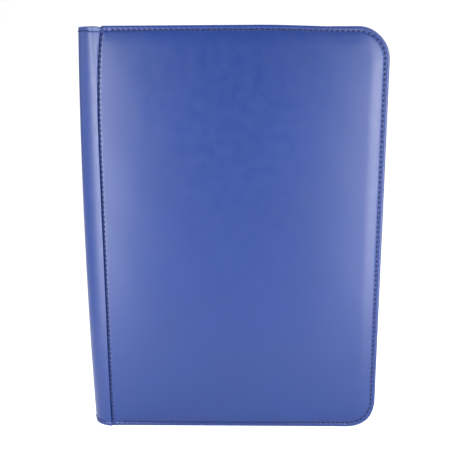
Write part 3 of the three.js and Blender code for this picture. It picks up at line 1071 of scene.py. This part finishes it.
def teeth_row(prefix, side, surface):
    """One row of nylon teeth; the two rows mesh half a pitch apart."""
    spots, ways = along(free_edge(ZIP_INSET, ZIP_START), TOOTH_PITCH, 0.5, 1.5)
    if side > 0:
        spots = spots + ways * TOOTH_PITCH / 2
    angle = circle(6)[None, None, :]
    out, wide, thick = (np.array(values)[None, :, None] for values in zip(*TOOTH))
    row, across = wide * np.cos(angle), thick * np.sin(angle)
    way_x, way_z = ways[:, 0, None, None], ways[:, 1, None, None]
    x = spots[:, 0, None, None] + way_x * row - way_z * across
    z = spots[:, 1, None, None] + way_z * row + way_x * across
    piece = make(f"{prefix}_teeth", *lofts(grid_points(x, side * out, z)), surface, crease=60)
    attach(piece, f"{prefix}_cover")
    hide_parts(f"{prefix}_zip_teeth")


def shouldered(length, wide, narrow, corner=1.2):
    """A slider plate's outline: wide shoulders at -X and a narrower, slightly waisted tail at +X."""
    turns = np.linspace(0, math.pi / 2, 5)
    waist = (0.5, narrow + 0.15)
    half = length / 2 - corner
    tail, shoulder = narrow - corner, wide - corner
    corners = ((half, tail), (-half, shoulder), (-half, -shoulder), (half, -tail))
    points = []
    for quarter, (x, y) in enumerate(corners):
        for angle in turns + quarter * math.pi / 2:
            points.append((x + corner * math.cos(angle), y + corner * math.sin(angle)))
        if quarter == 0:
            points.append(waist)
        if quarter == 2:
            points.append((waist[0], -waist[1]))
    return np.array(points)


PLATE = 1.0  # thickness of the slider's plates
PLATE_GAP = 1.3  # from the slider's middle to each plate


def slider_flanges(length, half):
    """Turned-in sides of both plates, which hold the tape's edges."""
    start, end, thick = -1.5, length / 2 - 0.8, 0.35
    section = np.array([(start, thick), (end, thick), (end, -thick), (start, -thick)])
    parts = []
    for side in (-1, 1):
        outline = section[::side] * (1, side) + (0, side * (half - 1.3))
        for level in (-1, 1):
            ends = np.sort([level * (PLATE_GAP + 0.4), level * 1.02])
            parts.append(prism(outline, *ends, 0.12))
    return parts


def slider_bridge(rise):
    """The arch over the top plate that carries the pull."""
    reach, sunk, half_width, half_thick = 2.6 * 0.86, 0.3, 0.95, 0.4
    turns = circle(10)
    rings = []
    for angle in np.linspace(0, math.pi, 13):
        out = half_thick * (np.cos(turns) - 0.75)
        x = reach * math.cos(angle) + math.cos(angle) * out
        z = PLATE_GAP + PLATE - sunk + rise * math.sin(angle) ** 0.7 + math.sin(angle) * out
        rings.append(grid_points(x, half_width * np.sin(turns), z))
    return lofts(np.array([rings]))


def slider_piece(surface):
    """Slider body: two shouldered plates with turned-in sides, the wedge and the bridge."""
    x = (SLIDER_LOW[0] + SLIDER_HIGH[0]) / 2
    z = TEETH_HIGH[2] - 1
    length, width, _ = SLIDER_HIGH - SLIDER_LOW
    outline = shouldered(length, width / 2, width / 2 - 0.9)
    plate_end = PLATE_GAP + PLATE
    parts = [prism(outline, PLATE_GAP, plate_end, 0.3), prism(outline, -plate_end, -PLATE_GAP, 0.3)]
    parts += slider_flanges(length, width / 2)
    turns = circle(12)
    wedge = np.column_stack([-1.8 + 2.0 * np.cos(turns), 0.9 * np.sin(turns)])
    parts.append(prism(wedge, -PLATE_GAP - 0.3, PLATE_GAP + 0.3, 0.1))
    parts.append(slider_bridge(SLIDER_HIGH[2] - z - plate_end - 0.05))
    points, faces = joined(parts)
    piece = make("zip_slider_body", points + [x, 0, z], faces, surface, crease=50)
    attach(piece, "zip_slider")
    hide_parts("zip_slider")


def pull_piece(surface):
    """Pull tab: a tapering frame with an eye at the pin and a raised grip."""
    start, end = PULL_LOW[0], PULL_HIGH[0]
    middle = (PULL_LOW[2] + PULL_HIGH[2]) / 2
    half, thick = (PULL_HIGH - PULL_LOW)[1:] / 2
    eye_end = start + 4.8
    pin_x, pin_end = start + 0.6, 0.45
    nose_turns = np.linspace(-math.pi / 2, math.pi / 2, 13)

    def lozenge(inset, tail):
        """Outline with a round outer end and a squarer inner end."""
        radius = half - inset
        nose = np.column_stack([end - half + radius * np.cos(nose_turns), radius * np.sin(nose_turns)])
        back = [(tail + inset + 0.8, radius - 0.5), (tail + inset, radius - 1.4)]
        back += [(x, -y) for x, y in back[::-1]]
        return np.vstack([nose, back])

    parts = [prism(lozenge(0, eye_end - 0.6), -thick, thick, 0.25)]
    parts.append(prism(lozenge(1.2, eye_end + 1.0), -thick, thick + 0.28, 0.22))
    inner, outer, arm_end = 1.7, half - 0.4, eye_end + 0.4
    arm = np.array([(pin_x, inner), (arm_end, inner), (arm_end, outer), (pin_x, outer)])
    for side in (-1, 1):
        parts.append(prism(arm[::side] * (1, side), -thick, thick, 0.2))
    turns = circle(12)
    stations = ((0.45 - half, pin_end), (0.7 - half, thick), (half - 0.7, thick), (half - 0.45, pin_end))
    pin = []
    for y, radius in stations:
        pin.append(grid_points(pin_x + radius * np.cos(turns), y, radius * np.sin(turns)))
    parts.append(lofts(np.array([pin])))
    points, faces = joined(parts)
    piece = make("zip_pull_tab", points + [0, 0, middle], faces, surface, crease=50)
    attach(piece, "zip_pull")
    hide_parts("zip_pull")


# ---- pages ----

POCKETS = 3
WELD = 1.5
PAGE_MARGIN = 1.6
PAGE_CORNER = 5.0
GUTTER = 8.0
BOUND_WIDTH, BOUND_HALF = 4.5, 0.1  # the bound strip, and half its thickness
PAGE_HALF, FILM_BULGE = 0.12, 0.27


def pocket_lines(start, end):
    """Grid lines across a row of pockets, close together at the welds."""
    within = (0, .012, .03, .07, .14, .25, .38, .5, .62, .75, .86, .93, .97, .988, 1)
    size = (end - start - WELD) / POCKETS
    lines = [start]
    for pocket in range(POCKETS):
        first = start + WELD + pocket * size
        lines += [first + (size - WELD) * share for share in within]
    return np.array(lines + [end])


def bulge(value, start, end):
    """1 in the middle of each pocket, 0 on the welds."""
    size = (end - start - WELD) / POCKETS
    share = np.mod(value - start - WELD, size) / (size - WELD)
    inside = (value > start + WELD) & (value < end - WELD) & (share < 1)
    return np.where(inside, 1 - abs(2 * share - 1) ** 6, 0)


def page_points():
    """x, z, half thickness and weld of a page's grid."""
    low, high = PAGE_LOW, PAGE_HIGH
    x0, x1 = low[0] + GUTTER, high[0] - PAGE_MARGIN
    z0, z1 = low[2] + PAGE_MARGIN, high[2] - PAGE_MARGIN
    bound_edge = low[0] + np.array([0, 2.4, 4.2, 4.8])
    xs = np.concatenate([bound_edge, pocket_lines(x0, x1), [high[0] - 0.5, high[0]]])
    zs = np.concatenate([[low[2], low[2] + 0.6], pocket_lines(z0, z1), [high[2] - 0.6, high[2]]])
    x, z = np.meshgrid(xs, zs)
    full = bulge(x, x0, x1) * bulge(z, z0, z1)
    bound = low[0] + BOUND_WIDTH
    puff = full * (FILM_BULGE + 0.04 * np.sin(x / 11 + z / 17))
    half = np.where(x < bound, BOUND_HALF, PAGE_HALF) + puff
    weld = np.where((x > bound) & (full <= 0), 1.0, 0.0)
    upper = np.sign(z - HEIGHT / 2)
    across = x - (high[0] - PAGE_CORNER)
    up = abs(z - HEIGHT / 2) - ((high[2] - low[2]) / 2 - PAGE_CORNER)
    reach = np.maximum(np.hypot(np.maximum(across, 0), np.maximum(up, 0)), 1e-6)
    cut_off = (across > 0) & (up > 0) & (reach > PAGE_CORNER)
    pull = np.where(cut_off, 1 - PAGE_CORNER / reach, 0)
    return x - across * pull, z - up * pull * upper, half, weld


def pages(surface):
    """Twenty pocket pages that share one mesh."""
    x, z, half, weld = page_points()
    first = make("pages", *sandwich(grid_points(x, -half, z), grid_points(x, half, z)), surface)
    attribute(first, "weld", np.tile(weld.ravel(), 2))
    shared = first.data
    bpy.data.objects.remove(first)
    for name in sorted(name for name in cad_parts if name.startswith("page_")):
        low, high = box_of(name)
        leaf = placed(f"{name}_pockets", shared)
        leaf.location.y = (low[1] + high[1]) / 2 * MM
        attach(leaf, name)
        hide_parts(name)


# ---- carried-over CAD nodes ----


def dress(name, surface, width):
    """Gives a CAD node its material and softens its edges."""
    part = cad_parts[name]
    part.data.materials.clear()
    part.data.materials.append(surface)
    soften = part.modifiers.new("soft edges", "BEVEL")
    soften.width = width * MM
    soften.segments = 3
    soften.limit_method = "ANGLE"
    soften.angle_limit = math.radians(50)


# ---- studio ----


def cyclorama():
    """A plain white floor that curves up into the backdrop."""
    made = material("studio_white", (0.8, 0.8, 0.8), 0.9, Specular_IOR_Level=0.1)
    faint = noise(made, 300, 2)
    wire(made, "Base Color", between(made, faint, (0.79, 0.79, 0.79), (0.81, 0.81, 0.81)))
    near, bend_start, radius, top, half_width = -2500.0, 900.0, 900.0, 3200.0, 3500.0
    turn = np.linspace(0, math.pi / 2, 25)
    y = np.concatenate([[near], bend_start + radius * np.sin(turn), [bend_start + radius]])
    z = np.concatenate([[0], radius * (1 - np.cos(turn)), [top]])
    x = np.linspace(-half_width, half_width, 9)[:, None]
    points = grid_points(x, y, z).reshape(-1, 3)
    floor = make("floor", points, grid_faces(len(x), len(y)), made)


def softbox(name, place, aim, size, power):
    """A rectangular area light at place, pointed at aim, in metres and watts."""
    data = bpy.data.lights.new(name, "AREA")
    data.shape = "RECTANGLE"
    data.size, data.size_y = size
    data.energy = power
    light = placed(name, data)
    light.location = place
    light.rotation_euler = (Vector(aim) - Vector(place)).to_track_quat("-Z", "Y").to_euler()


def studio():
    """At each side a tall softbox, a near strip and a wall; two lights above and a little fill."""
    middle = (0, 0, HEIGHT / 2 * MM)
    for side in (-1, 1):
        softbox("softbox", (side * 0.77, -1.12, 0.54), middle, (0.46, 1.06), 14)
        softbox("side_strip", (side * 0.265, -0.27, 0.19), (side * 0.08, 0, 0.19), (0.2, 0.36), 2.3)
        softbox("side_wall", (side * 1.35, -0.1, 0.7), (0, 0, 0.2), (1.3, 1.3), 11)
    softbox("overhead", (0, -0.35, 1.35), (0, 0, 0.3), (1.4, 0.5), 6)
    softbox("top_light", (0, 0.8, 1.9), (0, 0.6, 0), (2.6, 1.8), 32)
    world = bpy.data.worlds.new("studio")
    world.use_nodes = True
    background = world.node_tree.nodes["Background"]
    background.inputs["Color"].default_value = (0.9, 0.94, 1.0, 1)
    background.inputs["Strength"].default_value = 0.05
    bpy.context.scene.world = world
    bpy.context.scene.view_settings.view_transform = "Standard"


CAMERA_PLACE = (7.2, -573.5, 306.4)
CAMERA_YAW, CAMERA_PITCH, CAMERA_TILT = -1.28, 12.37, -0.32  # degrees
LENS, SENSOR = 54.56, 36.0


def camera():
    """Stands in front of the cover, a little above its middle, looking down."""
    yaw, pitch, tilt = (math.radians(angle) for angle in (CAMERA_YAW, CAMERA_PITCH, CAMERA_TILT))
    ahead = Vector((math.sin(yaw), math.cos(yaw), 0))
    forward = ahead * math.cos(pitch) - Vector((0, 0, math.sin(pitch)))
    level = Vector((math.cos(yaw), -math.sin(yaw), 0))
    above = level.cross(forward)
    right = level * math.cos(tilt) + above * math.sin(tilt)
    up = above * math.cos(tilt) - level * math.sin(tilt)
    data = bpy.data.cameras.new("camera")
    data.sensor_width = SENSOR
    data.lens = LENS
    data.clip_start = 0.01
    made = placed("camera", data)
    turned = Matrix((right, up, -forward)).transposed().to_4x4()
    made.matrix_world = Matrix.Translation(Vector(CAMERA_PLACE) * MM) @ turned
    bpy.context.scene.camera = made


# ---- assembly ----

leather = leather_material()
thread = thread_material()
lining = woven_material("black_lining", BLACK, 0.7)
tape = tape_material()
teeth = teeth_material()
metal = metal_material()
foam = foam_material()
board = board_material()

camera()
for prefix, side in COVERS:
    leather_panel(prefix, side, leather)
    foam_pad(prefix, side, foam)
    inner_lining(prefix, side, lining)
    cover_thread(prefix, side, thread)
    lining_thread(prefix, side, thread)
    spine_skin(prefix, side, leather)
    hinge_lining(prefix, side, lining)
    tape_half(prefix, side, tape)
    teeth_row(prefix, side, teeth)
    dress(f"{prefix}_board", board, 0.2)
    dress(f"{prefix}_zip_stop_top", metal, 0.3)
    dress(f"{prefix}_zip_stop_bottom", metal, 0.3)
spine_layer("spine_foam", foam, 2.4, 0.05)
spine_layer("spine_lining", lining, 0.5, 0.03)
spine_thread(thread)
end_tab("zip_end_tab_top", tape)
end_tab("zip_end_tab_bottom", tape)
dress("binding_strip", strip_material(), 0.3)
slider_piece(metal)
pull_piece(metal)
pages(page_material())
cyclorama()
studio()
